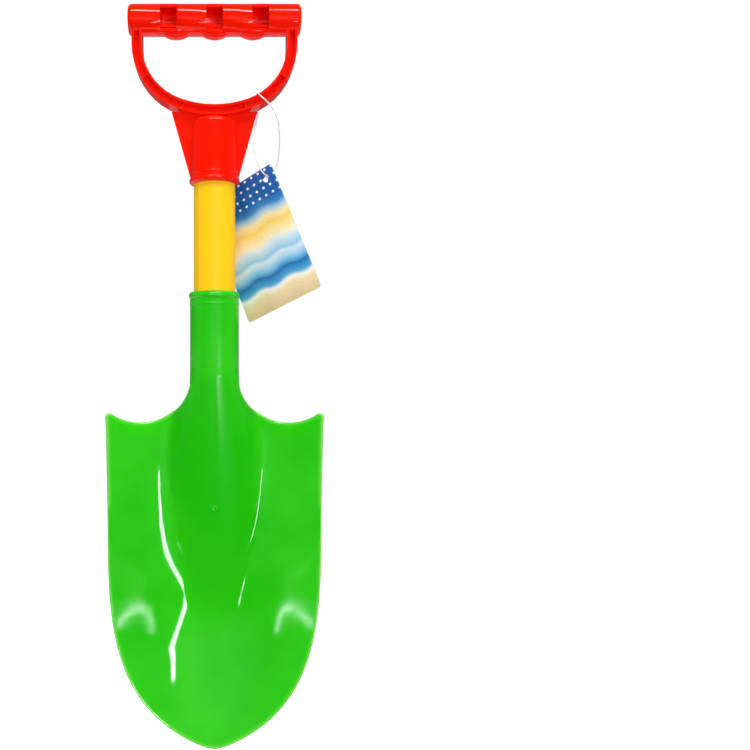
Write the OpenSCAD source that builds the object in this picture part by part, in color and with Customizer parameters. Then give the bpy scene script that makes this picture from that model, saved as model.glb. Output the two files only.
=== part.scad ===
// Toy sand shovel, front towards -Y, handle up.
// The origin is the middle of the grip bar, where a hand or a hook holds the shovel.
// Three mouldings push together: the D-handle, the tube shaft and the dished blade.

/* [Shaft] */
// Outside diameter of the shaft tube
shaft_d = 25.6; // [22:0.2:30]
// Wall of the shaft tube
shaft_wall = 1.6; // [1:0.1:3]
// Length of shaft that shows between the two socket mouths
shaft_show = 66; // [40:1:160]
// Radial clearance of the shaft in both sockets
shaft_fit = 0.1; // [0.05:0.05:0.3]
// Play between the shaft's top end and the handle socket's floor
shaft_play = 0.3; // [0.1:0.1:1]

/* [Grip bar] */
// Length of the grip bar
grip_l = 106; // [98:1:130]
// Diameter of the grip bar
grip_d = 18.8; // [17:0.2:24]
// Rounding of the grip bar's end edges
grip_round = 2.5; // [1:0.5:4]
// Wall of the half shells that make up the grip bar
grip_wall = 1.8; // [1.2:0.1:3]
// Distance between the middles of the front recesses
recess_pitch = 28; // [24:0.5:32]
// Width of a front recess
recess_w = 10.2; // [6:0.2:14]
// Height of the lip that closes a recess at its bottom
recess_lip = 1.2; // [0.8:0.2:1.6]
// How far the back shells reach forward over the recesses, and the front shells back
recess_reach = 4; // [2:0.2:5]
// Thickness of the cross walls and the lengthwise web in the grip bar
grip_web = 1.5; // [1:0.1:2.5]
// How far the lengthwise web lies below the bar's axis
web_drop = 3.3; // [0:0.1:4.5]
// How far the finger bumps stand proud under the grip bar
bump_h = 2.5; // [1:0.5:4]
// Length of a finger bump along the bar
bump_l = 16; // [10:1:22]
// Distance between the finger bumps
bump_pitch = 23.6; // [23:0.2:27]

/* [D-frame] */
// Half the width of the hand opening
opening_half_w = 44.4; // [38:0.2:46]
// Depth of the hand opening below the grip bar's axis
opening_depth = 53.6; // [46:0.2:60]
// Straight length of the frame's sides below the grip bar's axis
side_straight = 16.4; // [14:0.2:20]
// Radius of the frame's bottom curve, on its inside
bottom_r = 62; // [55:1:75]
// Width of the frame's bar, seen from the front
bar_w = 6.2; // [5:0.2:10]
// Depth of the frame's bar, front to back
bar_depth = 12.5; // [9:0.5:16]
// Thickness of the bar's two flanges
flange_t = 1.4; // [1:0.1:2]
// Thickness of the web between the flanges, and of the gussets
web_t = 2.4; // [1.5:0.1:4]
// Thickness of the ribs across the bar's channel
rib_t = 1.3; // [0.8:0.1:2]
// Directions of the ribs on one side, in degrees below the horizontal
rib_angles = [24, 63];
// How far the ribs stay below the flanges' edges
rib_set = 1.2; // [0.2:0.2:3]

/* [Handle socket] */
// How far below the hand opening the socket's closed end lies
socket_set = 8.4; // [7:0.2:12]
// Length of the handle socket
handle_socket_l = 39.6; // [37:0.2:60]
// Wall of the handle socket at its mouth
handle_wall = 1.9; // [1.4:0.1:3]
// How much the socket's radius shrinks from its mouth to its closed end
handle_draft = 0.8; // [0:0.1:1.2]
// Rounding of the socket's closed end
handle_dome = 3.5; // [1:0.5:5]
// Depth of the bore that takes the shaft
handle_bore_l = 32; // [24:1:34]
// Half the width of the gussets where they leave the frame
gusset_half_w = 26.4; // [22:0.2:32]
// Height of the gussets above the socket's mouth
gusset_foot = 4; // [4:0.5:12]

/* [Rim beads] */
// How far the rim beads stand proud of the sockets
bead_proud = 0.8; // [0.4:0.1:1.6]
// Height of the handle socket's rim bead
handle_bead_h = 4; // [2.5:0.5:6]
// Height of the blade socket's rim bead
blade_bead_h = 5; // [2.5:0.5:6]
// How far the thin ring stands proud, next to each rim bead
ring_proud = 0.3; // [0.1:0.1:0.8]

/* [Blade socket] */
// Wall of the blade socket
blade_socket_wall = 2.1; // [1.5:0.1:3]
// Length of the blade socket
blade_socket_l = 50.8; // [40:0.2:70]
// Thickness of the socket's floor, which the shaft stands on
socket_floor = 5; // [4.5:0.5:8]

/* [Blade] */
// Length of the blade below its socket
blade_l = 231; // [200:1:260]
// Half the width of the blade at its horns
blade_half_w = 66.2; // [58:0.2:76]
// How much each side draws in from the horn to the start of the nose
blade_taper = 1; // [0:0.1:4]
// Length of the rounded nose
nose_l = 152; // [120:1:180]
// How full the nose's sides are
nose_full = 3.75; // [2:0.05:5]
// How blunt the nose's tip is
nose_blunt = 0.67; // [0.5:0.01:0.8]
// Wall of the blade
blade_t = 2.2; // [1.6:0.1:3]
// Radius of the arcs that run from the socket out to the horns
shoulder_r = 30; // [24:0.5:32]
// Rounding of the horns' tips
horn_round = 2.8; // [1:0.2:5]
// Rise of the wings for each millimetre outwards
wing_slope = 0.42; // [0.2:0.02:0.6]
// Distance from the middle at which the wings start to rise
wing_knee = 22; // [14:1:32]
// Softness of the bend between the flat middle and the wings
wing_soft = 14; // [6:1:24]
// How much nearer to the middle the wings bend beside the spine's foot
wing_pinch = 4; // [0:0.5:6]
// Length over which the bend comes in
pinch_l = 24; // [16:1:40]
// Lift of the blade's tip
tip_lift = 14; // [4:1:24]
// How far the top margin turns back
margin_turn = 2.4; // [0:0.2:5]
// Depth of the top margin that turns back
margin_h = 9; // [6:1:16]

/* [Spine ramp] */
// Length of the hollow ramp that runs from the socket into the blade
ramp_l = 139.5; // [110:0.5:160]
// How much wider than the socket the ramp's cone grows, in radius
ramp_flare = 60; // [40:1:80]
// Shape of the ramp's crest, where 1 is a straight line
ramp_curve = 1; // [1:0.05:1.6]
// Steepness of the ramp's flanks beside the socket
flank_slope = 3.5; // [2:0.5:5]
// Softness of the valley between the ramp and the blade
valley_soft = 4; // [2:0.5:8]
// Height of the small ring left by the moulding gate on the ramp
gate_h = 0.6; // [0.4:0.1:1.2]
// Diameter of that ring
gate_d = 4; // [3:0.5:6]
// Distance of that ring below the socket
gate_drop = 83; // [60:1:100]

/* [Hang tag] */
// Width of the card
tag_w = 53; // [40:1:60]
// Height of the card
tag_h = 84; // [70:1:100]
// Thickness of the card
tag_t = 0.5; // [0.3:0.1:1]
// Rounding of the card's corners
tag_round = 2; // [1:0.5:5]
// Diameter of the card's hole
tag_hole_d = 5; // [4:0.5:7]
// Distance of the hole from the card's side edge
tag_hole_side = 6.5; // [5:0.5:12]
// Distance of the hole from the card's top edge
tag_hole_top = 7; // [5:0.5:9]
// Turn of the card about the vertical, its free side towards the front
tag_turn = 31; // [30:1:40]
// Lean of the card from the upright, its lower end away from the shaft
tag_hang = 23.5; // [15:0.5:35]
// Diameter of the loop's filament
loop_d = 0.9; // [0.6:0.1:1.2]
// Diameter of the loop's lock head
lock_d = 3.4; // [2.4:0.2:4]
// Length of the lock head
lock_l = 5; // [4:0.5:6]
// Diameter of the lock head's collar
lock_collar_d = 4.4; // [3.6:0.2:5]

/* [Hidden] */
$fn = 96;
// Length by which one solid runs into the next where they are joined or cut
over = 1;

// Shared radii and heights, measured from the grip bar's axis
shaft_r = shaft_d / 2;
bore_r = shaft_r + shaft_fit;
grip_r = grip_d / 2;
handle_top_z = -(opening_depth + socket_set);
handle_mouth_z = handle_top_z - handle_socket_l;
handle_floor_z = handle_mouth_z + handle_bore_l;
handle_mouth_r = bore_r + handle_wall;
blade_mouth_z = handle_mouth_z - shaft_show;
blade_socket_r = bore_r + blade_socket_wall;
socket_end_z = blade_mouth_z - blade_socket_l;
blade_floor_z = socket_end_z + socket_floor;
tip_z = socket_end_z - blade_l;
nose_z = tip_z + nose_l;
nose_half_w = blade_half_w - blade_taper;
belly_z = socket_end_z - ramp_l;
foot_z = socket_end_z - 0.94 * ramp_l;

// Frame curve: two corner arcs that meet a flatter bottom arc without a kink
curve_depth = opening_depth - side_straight;
corner_r = (2 * bottom_r * curve_depth - pow(curve_depth, 2) - pow(opening_half_w, 2))
    / (2 * (bottom_r - opening_half_w));
corner_x = opening_half_w - corner_r;
bottom_z = bottom_r - opening_depth;
bottom_angle = atan2(corner_x, bottom_z + side_straight);

// Blade sheet: columns follow the socket's front half and then the wings, rows run from nose to shoulders
spine_cols = 7;
wing_cols = 11;
sheet_cols = spine_cols + wing_cols;
sheet_rows = 32;
// The spine starts a little inside the socket's outer face and runs up into its floor
spine_skin = 0.15;
spine_plug = 2;
spine_r = blade_socket_r - spine_skin;
slope_step = 0.2;
shoulder_x = blade_socket_r + shoulder_r;

// Card: drawn about its hole
tag_hole_x = tag_w / 2 - tag_hole_side;
tag_hole_z = tag_h / 2 - tag_hole_top;
tag_back = [sin(tag_turn), cos(tag_turn), 0];
// Where the filament passes through the card, and the hole below it, hung on the filament by its upper edge
thread_at = [32, 0, -95.5];
thread_fit = 0.04;
tag_hole_at = thread_at - [0, 0, tag_hole_d / 2 - loop_d / 2 - thread_fit];
lock_gap = 1.5;

// Loop of filament: from the lock through the card's hole, up behind the frame's bar,
// over it through the hand opening, down its front and back to the lock behind the card
loop_sides = 8;
loop_steps = 3;
loop_route = [
    thread_at + tag_back * lock_gap,
    thread_at,
    thread_at - tag_back * 2.2,
    [29, -3.9, -94], [27.2, -4.5, -91], [25.6, -4.2, -86.5], [24.5, -3.4, -81],
    [24.2, -2, -75], [24.8, 0.4, -69], [25.8, 3.4, -63], [26.8, 6.2, -57.5],
    [27.1, 7.2, -52.9], [26.7, 7.2, -49.8], [26.3, 6.75, -47.1], [26.2, 4, -46.9],
    [26.2, 0, -46.9], [26.2, -4, -46.9], [26.3, -6.75, -47.1], [28.4, -7.2, -49.2],
    [31, -7.2, -51.6], [34, -7, -54.4], [36.8, -6, -58.4], [39, -4.2, -63.8],
    [40, -1.6, -70], [40.3, 1.4, -76], [40, 4.4, -82], [39.2, 7, -87.4],
    [38, 8, -92], [36.9, 7.4, -94.9],
    thread_at + tag_back * (lock_gap + lock_l)
];

// Points along an arc about a middle, in steps
function arc(middle, r, from, to, steps) =
    [for (k = [0:steps]) let (a = from + (to - from) * k / steps) middle + r * [cos(a), sin(a)]];

// Outline of the hand opening, grown by a distance and closed at a height, drawn in x and height
module frame_outline(grow, top_z) {
    polygon(concat(
        [[-opening_half_w - grow, top_z]],
        arc([-corner_x, -side_straight], corner_r + grow, 180, 270 - bottom_angle, 9),
        arc([0, bottom_z], bottom_r + grow, 270 - bottom_angle, 270 + bottom_angle, 8),
        arc([corner_x, -side_straight], corner_r + grow, 270 + bottom_angle, 360, 9),
        [[opening_half_w + grow, top_z]]
    ));
}

// Stands a drawing in x and height upright, with its thickness shared front and back
module upright(depth) {
    rotate([90, 0, 0])
        linear_extrude(depth, center = true)
            children();
}

// Part of the frame between two growths of its outline, below the grip bar's axis
module frame_band(inner, outer) {
    difference() {
        frame_outline(outer, 0);
        frame_outline(inner, over);
    }
}

module d_frame() {
    upright(web_t)
        frame_band(0, bar_w);
    upright(bar_depth) {
        frame_band(0, flange_t);
        frame_band(bar_w - flange_t, bar_w);
    }
    upright(bar_depth - 2 * rib_set)
        intersection() {
            frame_band(0, bar_w);
            for (side = [0, 1], angle = rib_angles)
                mirror([side, 0])
                    translate([0, -side_straight])
                        rotate(-angle)
                            translate([0, -rib_t / 2])
                                square([2 * opening_half_w, rib_t]);
        }
}

module gussets() {
    foot_half_w = handle_mouth_r;
    upright(web_t)
        polygon([
            [-gusset_half_w, -opening_depth - bar_w / 2],
            [gusset_half_w, -opening_depth - bar_w / 2],
            [foot_half_w, handle_mouth_z + gusset_foot],
            [-foot_half_w, handle_mouth_z + gusset_foot]
        ]);
}

// Outer edge of a rim bead and the thin ring next to it, for a mouth of radius r, from the mouth inwards
function bead_edge(r, bead_h) =
    let (bead_r = bead_h / 2, ring_r = bead_h / 4, ring_a = acos(1 - ring_proud / ring_r))
    concat(
        arc([r + bead_proud - bead_r, bead_r], bead_r, -90, acos(1 - bead_proud / bead_r), 8),
        arc([r + ring_proud - ring_r, bead_h + 2 * ring_r], ring_r, -ring_a, ring_a, 4)
    );

module handle_socket() {
    top_r = handle_mouth_r - handle_draft;
    rotate_extrude()
        polygon(concat(
            [[0, handle_mouth_z]],
            [for (p = bead_edge(handle_mouth_r, handle_bead_h)) [p[0], handle_mouth_z + p[1]]],
            arc([top_r - handle_dome, handle_top_z - handle_dome], handle_dome, 0, 90, 6),
            [[0, handle_top_z]]
        ));
}

// Bar with rounded ends, along x
module grip_bar() {
    end_r = grip_r - grip_round;
    end_x = grip_l / 2 - grip_round;
    rotate([0, 90, 0])
        rotate_extrude()
            polygon(concat(
                [[0, -grip_l / 2]],
                arc([end_r, -end_x], grip_round, -90, 0, 6),
                arc([end_r, end_x], grip_round, 0, 90, 6),
                [[0, grip_l / 2]]
            ));
}

// Slim barrels along the bar's underside, so that only their bellies stand proud between the fingers
module finger_bumps() {
    belly_r = 0.62 * grip_r;
    barrel_r = (pow(bump_l / 2, 2) + pow(bump_h, 2)) / (2 * bump_h);
    end_a = acos(max(0, barrel_r - belly_r * 0.7) / barrel_r);
    for (i = [-1, 0, 1])
        translate([i * bump_pitch, 0, belly_r - grip_r - bump_h])
            rotate([0, 90, 0])
                rotate_extrude()
                    polygon(concat(
                        [[0, -barrel_r * sin(end_a)]],
                        arc([belly_r - barrel_r, 0], barrel_r, -end_a, end_a, 14),
                        [[0, barrel_r * sin(end_a)]]
                    ));
}

// Hollow of one grip cell: open to the front (facing -1) or back (facing 1), split by the lengthwise web
module grip_cell(x, w, facing, low_z) {
    core_r = grip_r - grip_wall;
    difference() {
        intersection() {
            union() {
                translate([x - w / 2, 0, 0])
                    rotate([0, 90, 0])
                        cylinder(r = core_r, h = w);
                translate([x - w / 2, facing > 0 ? recess_reach : -2 * grip_r - recess_reach, -2 * grip_r])
                    cube([w, 2 * grip_r, 4 * grip_r]);
            }
            translate([x - w / 2, -3 * grip_r, low_z])
                cube([w, 6 * grip_r, 3 * grip_r]);
        }
        translate([x - w, facing > 0 ? -2 * grip_r : 0, -web_drop - grip_web / 2])
            cube([2 * w, 2 * grip_r, grip_web]);
    }
}

// Half shells take turns front and back, with a cross wall at each change
module grip_cells() {
    front_low_z = recess_lip - grip_r;
    for (i = [-1, 0, 1])
        grip_cell(i * recess_pitch, recess_w, -1, front_low_z);
    mid_w = recess_pitch - recess_w - 2 * grip_web;
    for (i = [-0.5, 0.5])
        grip_cell(i * recess_pitch, mid_w, 1, front_low_z);
    end_from = recess_pitch + recess_w / 2 + grip_web;
    end_w = opening_half_w - end_from;
    for (side = [-1, 1])
        grip_cell(side * (end_from + end_w / 2), end_w, 1, front_low_z);
}

module handle() {
    color("red")
        difference() {
            union() {
                difference() {
                    union() {
                        grip_bar();
                        finger_bumps();
                    }
                    grip_cells();
                }
                d_frame();
                gussets();
                handle_socket();
            }
            translate([0, 0, handle_mouth_z - over])
                cylinder(r = bore_r, h = handle_bore_l + over);
        }
}

module shaft() {
    top_z = handle_floor_z - shaft_play;
    color("gold")
        translate([0, 0, blade_floor_z])
            difference() {
                cylinder(r = shaft_r, h = top_z - blade_floor_z);
                translate([0, 0, -over])
                    cylinder(r = shaft_r - shaft_wall, h = top_z - blade_floor_z + 2 * over);
            }
}

// Smooth step from 0 to a straight line, for bends with a soft knee
function soft_knee(d, soft) = (d + sqrt(d * d + soft * soft)) / 2;

// Larger of two heights, with a soft valley between them
function soft_max(a, b, soft) = (a + b + sqrt(pow(a - b, 2) + soft * soft)) / 2;

// Height of the blade's face above the plane that the socket's back lies in, without the spine
function wing_bend(z) = wing_knee - wing_pinch * exp(-pow((z - foot_z) / pinch_l, 2));
function wing_rise(x, z) =
    let (bend = wing_bend(z), slope = wing_slope * (blade_half_w - wing_knee) / (blade_half_w - bend))
    slope * (soft_knee(abs(x) - bend, wing_soft) - soft_knee(-bend, wing_soft));
function tip_rise(z) = tip_lift * pow(max(0, belly_z - z) / (belly_z - tip_z), 2);
function margin_drop(x, z) =
    margin_turn * pow(max(0, 1 - (shoulder_z(x) - z) / margin_h), 2)
    * min(1, max(0, 2 * (abs(x) - blade_socket_r) / shoulder_r - 0.5));
function dish(x, z) = blade_t + wing_rise(x, z) + tip_rise(z) - margin_drop(x, z);

// Height of the spine: a cone that starts as the socket's front and sinks under the blade's face
function ramp_at(z) = max(0, socket_end_z - z) / ramp_l;
function spine_crest(z) =
    blade_socket_r + spine_r - (blade_socket_r + spine_r - blade_t) * pow(ramp_at(z), ramp_curve);
function spine_round(z) = spine_r + ramp_flare * ramp_at(z);
function spine(x, z) =
    let (r = spine_round(z), out = abs(x) - r)
    spine_crest(z) - r + (out < 0 ? sqrt(r * r - x * x) : -flank_slope * out);
function face(x, z) = soft_max(dish(x, z), spine(x, z), valley_soft);

// Columns of the sheet at its top edge: round the socket's front, then out to the horn, closer at both ends
function column_x(i) =
    let (n = abs(i), q = (n - spine_cols) / wing_cols)
    sign(i) * (n <= spine_cols
        ? spine_r * sin(90 * n / spine_cols)
        : spine_r + (blade_half_w - spine_r) * (1 - cos(180 * q)) / 2);

// Top edge: a plug in the socket's floor, a step down beside it, then the shoulder arc with a rounded horn
function shoulder_z(x) = socket_end_z - sqrt(max(0, pow(shoulder_r, 2) - pow(abs(x) - shoulder_x, 2)));
function horn_drop(x) =
    let (d = max(0, abs(x) - blade_half_w + horn_round))
    horn_round - sqrt(max(0, horn_round * horn_round - d * d));
function top_edge_z(i, x) =
    abs(i) < spine_cols ? socket_end_z + spine_plug
    : abs(i) == spine_cols ? socket_end_z - spine_plug / 2
    : shoulder_z(x) - horn_drop(x);

// Bottom edge: the nose, from its start at the sides to the tip
function nose_edge_z(share) = nose_z - nose_l * pow(1 - pow(abs(share), 1 / nose_blunt), 1 / nose_full);

function sheet_at(i, j) =
    let (
        top_x = column_x(i),
        share = top_x / blade_half_w,
        rise = j / sheet_rows,
        low_z = nose_edge_z(share)
    )
    [
        nose_half_w * share + (top_x - nose_half_w * share) * rise,
        low_z + (top_edge_z(i, top_x) - low_z) * rise
    ];

// Front point of the sheet, and the point behind it by one wall along the face's normal
function front_point(p) = [p[0], blade_socket_r - face(p[0], p[1]), p[1]];
function back_point(p) =
    let (
        slope_x = (face(p[0] + slope_step, p[1]) - face(p[0] - slope_step, p[1])) / (2 * slope_step),
        slope_z = (face(p[0], p[1] + slope_step) - face(p[0], p[1] - slope_step)) / (2 * slope_step),
        wall = blade_t / norm([slope_x, slope_z, 1])
    )
    front_point(p) + wall * [slope_x, 1, slope_z];

module blade_sheet() {
    cols = 2 * sheet_cols + 1;
    rows = sheet_rows + 1;
    grid = [for (j = [0:sheet_rows], i = [-sheet_cols:sheet_cols]) sheet_at(i, j)];
    skin = cols * rows;
    rim = concat(
        [for (i = [0:cols - 1]) i],
        [for (j = [1:rows - 1]) j * cols + cols - 1],
        [for (i = [cols - 2:-1:0]) (rows - 1) * cols + i],
        [for (j = [rows - 2:-1:1]) j * cols]
    );
    polyhedron(
        points = concat([for (p = grid) front_point(p)], [for (p = grid) back_point(p)]),
        faces = concat(
            [for (j = [0:rows - 2], i = [0:cols - 2], half = [0, 1])
                let (a = j * cols + i, b = a + cols)
                half == 0 ? [a, b, b + 1] : [a, b + 1, a + 1]],
            [for (j = [0:rows - 2], i = [0:cols - 2], half = [0, 1])
                let (a = skin + j * cols + i, b = a + cols)
                half == 0 ? [a, b + 1, b] : [a, a + 1, b + 1]],
            [for (k = [0:len(rim) - 1], half = [0, 1])
                let (a = rim[k], b = rim[(k + 1) % len(rim)])
                half == 0 ? [a, b, skin + b] : [a, skin + b, skin + a]]
        )
    );
}

module blade_socket() {
    rotate_extrude()
        polygon(concat(
            [[0, socket_end_z], [0, blade_floor_z], [bore_r, blade_floor_z], [bore_r, blade_mouth_z]],
            [for (p = bead_edge(blade_socket_r, blade_bead_h)) [p[0], blade_mouth_z - p[1]]],
            [[blade_socket_r, socket_end_z]]
        ));
}

// Ring left by the moulding gate, on the spine's crest
module gate_ring() {
    gate_z = socket_end_z - gate_drop;
    translate([0, blade_socket_r - face(0, gate_z) - gate_h, gate_z])
        rotate([-90, 0, 0])
            cylinder(d = gate_d, h = gate_h + blade_t / 2);
}

module blade() {
    color("limegreen") {
        blade_sheet();
        blade_socket();
        gate_ring();
    }
}

// Card drawn about its hole, with rounded corners
module card_outline() {
    difference() {
        translate([-tag_hole_x, -tag_hole_z]) {
            square([tag_w - 2 * tag_round, tag_h], center = true);
            square([tag_w, tag_h - 2 * tag_round], center = true);
            for (x = [-1, 1], z = [-1, 1])
                translate([x * (tag_w / 2 - tag_round), z * (tag_h / 2 - tag_round)])
                    circle(tag_round);
        }
        circle(d = tag_hole_d);
    }
}

module hang_tag() {
    color("deepskyblue")
        translate(tag_hole_at)
            rotate([0, 0, -tag_turn])
                rotate([0, -tag_hang, 0])
                    upright(tag_t)
                        card_outline();
}

// Point on a smooth curve through four neighbours of the route, at a share of the way from b to c
function through(a, b, c, d, s) =
    0.5 * (2 * b + (c - a) * s + (2 * a - 5 * b + 4 * c - d) * s * s + (3 * b - a - 3 * c + d) * s * s * s);
function route_at(n) =
    let (
        last = len(loop_route) - 1,
        k = min(floor(n / loop_steps), last - 1),
        before = k > 0 ? loop_route[k - 1] : 2 * loop_route[0] - loop_route[1],
        after = k < last - 1 ? loop_route[k + 2] : 2 * loop_route[last] - loop_route[last - 1]
    )
    through(before, loop_route[k], loop_route[k + 1], after, n / loop_steps - k);
function unit(v) = v / norm(v);

// Side direction carried along the route, kept square to it, so that the tube doesn't twist
function carried(sides, headings, n) =
    n == len(headings)
        ? sides
        : let (old = sides[n - 1], now = headings[n])
          carried(concat(sides, [unit(old - now * (old * now))]), headings, n + 1);

module tag_loop() {
    rings = (len(loop_route) - 1) * loop_steps;
    route = [for (n = [0:rings]) route_at(n)];
    headings = [for (n = [0:rings]) unit(route[min(rings, n + 1)] - route[max(0, n - 1)])];
    sides = carried([unit(cross(headings[0], [0, 0, 1]))], headings, 1);
    points = [
        for (n = [0:rings], m = [0:loop_sides - 1])
            let (angle = 360 * m / loop_sides, lift = cross(headings[n], sides[n]))
            route[n] + loop_d / 2 * (cos(angle) * sides[n] + sin(angle) * lift)
    ];
    color("white")
        polyhedron(
            points = points,
            faces = concat(
                [[for (m = [0:loop_sides - 1]) m]],
                [for (n = [0:rings - 1], m = [0:loop_sides - 1], half = [0, 1])
                    let (
                        a = n * loop_sides + m,
                        b = n * loop_sides + (m + 1) % loop_sides
                    )
                    half == 0 ? [a, a + loop_sides, b + loop_sides] : [a, b + loop_sides, b]],
                [[for (m = [loop_sides - 1:-1:0]) rings * loop_sides + m]]
            )
        );
}

module loop_lock() {
    collar_l = lock_l / 4;
    color("whitesmoke")
        translate(thread_at + tag_back * lock_gap)
            rotate([0, 0, -tag_turn])
                rotate([-90, 0, 0]) {
                    cylinder(d = lock_d, h = lock_l);
                    translate([0, 0, lock_l - collar_l])
                        cylinder(d = lock_collar_d, h = collar_l);
                }
}

blade();
shaft();
handle();
hang_tag();
tag_loop();
loop_lock();
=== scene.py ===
"""Toy sand shovel: a red D-handle, a yellow tube shaft and a green dished blade, with a hanging card tag.

Lengths are in millimetres up to the point where a mesh is made, and in metres from there on.
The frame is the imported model's own: X to the right, Y to the back, Z up, origin in the grip bar's middle.
"""

import logging
import math
from dataclasses import dataclass, field
from enum import Enum
from typing import Any, Sequence

import bmesh
import bpy
import numpy as np
from mathutils import Matrix, Quaternion, Vector
from mathutils.kdtree import KDTree


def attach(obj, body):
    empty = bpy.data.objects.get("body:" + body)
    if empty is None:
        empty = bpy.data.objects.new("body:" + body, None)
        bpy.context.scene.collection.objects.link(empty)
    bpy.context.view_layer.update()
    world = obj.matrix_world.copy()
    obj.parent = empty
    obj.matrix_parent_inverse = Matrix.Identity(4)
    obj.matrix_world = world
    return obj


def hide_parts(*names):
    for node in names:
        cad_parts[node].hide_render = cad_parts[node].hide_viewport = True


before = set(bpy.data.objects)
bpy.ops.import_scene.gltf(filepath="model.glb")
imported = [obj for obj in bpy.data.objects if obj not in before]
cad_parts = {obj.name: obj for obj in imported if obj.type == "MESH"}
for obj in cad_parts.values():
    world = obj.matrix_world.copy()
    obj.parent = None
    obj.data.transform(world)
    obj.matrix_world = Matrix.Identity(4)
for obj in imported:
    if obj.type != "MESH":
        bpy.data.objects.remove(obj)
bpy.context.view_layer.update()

LOG = logging.getLogger("sand_shovel")
MM = 0.001
PHOTO_PX = 750
# Range that most of a noise's values lie in
NOISE_SPAN = {"From Min": 0.3, "From Max": 0.7}
# Shared by card and filament: the card's size and turn, the filament's thickness and its place in the card
CARD_MM = (53.0, 84.0)
CARD_TURN_DEG = 31.0
FILAMENT_MM = 0.9
THREAD_AT = (32.0, 0.0, -95.5)


class Body(Enum):
    """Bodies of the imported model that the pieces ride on."""

    SHOVEL = "shovel"
    LOOP = "loop"
    TAG = "tag"


class Slot(Enum):
    """Material slots of the record."""

    BLADE = "blade_plastic"
    SHAFT = "shaft_plastic"
    HANDLE = "handle_plastic"
    CARD = "tag_card"
    FILAMENT = "loop_filament"


# ---------------------------------------------------------------- colours and nodes


def linear(colour: str) -> tuple[float, float, float, float]:
    """Turns an sRGB hex colour into linear light.

    Args:
        colour: Six hex digits after a hash sign.

    Returns:
        Red, green, blue and an alpha of 1.
    """
    shares = [int(colour[i : i + 2], 16) / 255 for i in (1, 3, 5)]
    red, green, blue = [s / 12.92 if s <= 0.04045 else ((s + 0.055) / 1.055) ** 2.4 for s in shares]
    return red, green, blue, 1.0


def add_node(
    tree: bpy.types.NodeTree, kind: str, inputs: dict[str | int, Any] | None = None, **settings: Any
) -> bpy.types.Node:
    """Adds a shader node, sets it up and links it.

    Args:
        tree: The node tree that takes the node.
        kind: The node's type, without its ShaderNode prefix.
        inputs: For each input, by name or number, a value or the output socket that feeds it.
        settings: The node's own properties.

    Returns:
        The new node.
    """
    node = tree.nodes.new("ShaderNode" + kind)
    for name, value in settings.items():
        setattr(node, name, value)
    for name, value in (inputs or {}).items():
        if isinstance(value, bpy.types.NodeSocket):
            tree.links.new(value, node.inputs[name])
        else:
            node.inputs[name].default_value = value
    return node


def new_material(name: str) -> tuple[bpy.types.Material, bpy.types.NodeTree]:
    """Starts a material with an empty tree.

    Args:
        name: The material's name.

    Returns:
        The material and its node tree.
    """
    material = bpy.data.materials.new(name)
    material.use_nodes = True
    material.node_tree.nodes.clear()
    return material, material.node_tree


# ---------------------------------------------------------------- finishes


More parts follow.
